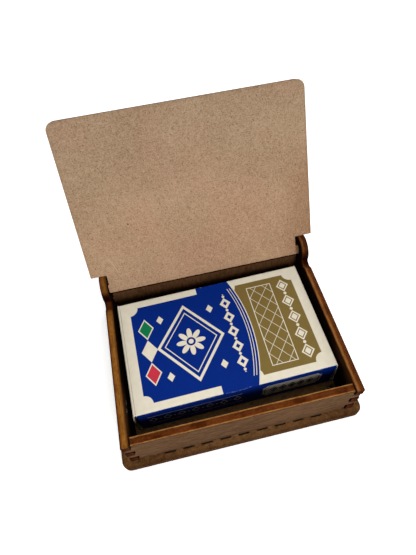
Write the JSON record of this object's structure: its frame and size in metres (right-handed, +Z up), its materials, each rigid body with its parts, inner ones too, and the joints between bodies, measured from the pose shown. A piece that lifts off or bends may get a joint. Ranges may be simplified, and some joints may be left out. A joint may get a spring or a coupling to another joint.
{
  "type": "playing card box",
  "caption": "Shallow fibreboard box with interlocking finger corners, a lid that turns on its own tabs in two side ears, and a loose tuck box of playing cards inside.",
  "frame": {"origin": "middle of the base plate's underside", "axes": "+Z up from the base plate; +X along the hinge, to the right for someone facing the front wall; +Y from the front wall to the hinge"},
  "size_m": [0.1042, 0.1124, 0.0919],
  "materials": {
    "fibreboard": "raw fibreboard faces with laser-browned edges",
    "printed_board": "coated and printed, satin",
    "card_stock": "smooth, satin"
  },
  "bodies": {
    "box": {"base_plate": "fibreboard", "front_wall": "fibreboard", "rear_wall": "fibreboard", "left_wall": "fibreboard", "right_wall": "fibreboard"},
    "lid": {"lid": "fibreboard"},
    "card_deck": {"tuck_box": "printed_board", "playing_card_01": "card_stock", "playing_card_02": "card_stock", "playing_card_03": "card_stock", "playing_card_04": "card_stock", "playing_card_05": "card_stock", "playing_card_06": "card_stock", "playing_card_07": "card_stock", "playing_card_08": "card_stock", "playing_card_09": "card_stock", "playing_card_10": "card_stock", "playing_card_11": "card_stock", "playing_card_12": "card_stock", "playing_card_13": "card_stock", "playing_card_14": "card_stock", "playing_card_15": "card_stock", "playing_card_16": "card_stock", "playing_card_17": "card_stock", "playing_card_18": "card_stock", "playing_card_19": "card_stock", "playing_card_20": "card_stock", "playing_card_21": "card_stock", "playing_card_22": "card_stock", "playing_card_23": "card_stock", "playing_card_24": "card_stock", "playing_card_25": "card_stock", "playing_card_26": "card_stock", "playing_card_27": "card_stock", "playing_card_28": "card_stock", "playing_card_29": "card_stock", "playing_card_30": "card_stock", "playing_card_31": "card_stock", "playing_card_32": "card_stock", "playing_card_33": "card_stock", "playing_card_34": "card_stock", "playing_card_35": "card_stock", "playing_card_36": "card_stock", "playing_card_37": "card_stock", "playing_card_38": "card_stock", "playing_card_39": "card_stock", "playing_card_40": "card_stock"}
  },
  "joints": [
    {"name": "lid_hinge", "type": "hinge", "parent": "box", "child": "lid", "pos_m": [0, 0.0346, 0.0274], "axis": [1, 0, 0], "range_deg": [0, 120]},
    {"name": "card_lift", "type": "slide", "parent": "box", "child": "card_deck", "axis": [0, 0, 1], "range_m": [0, 0.1]}
  ]
}
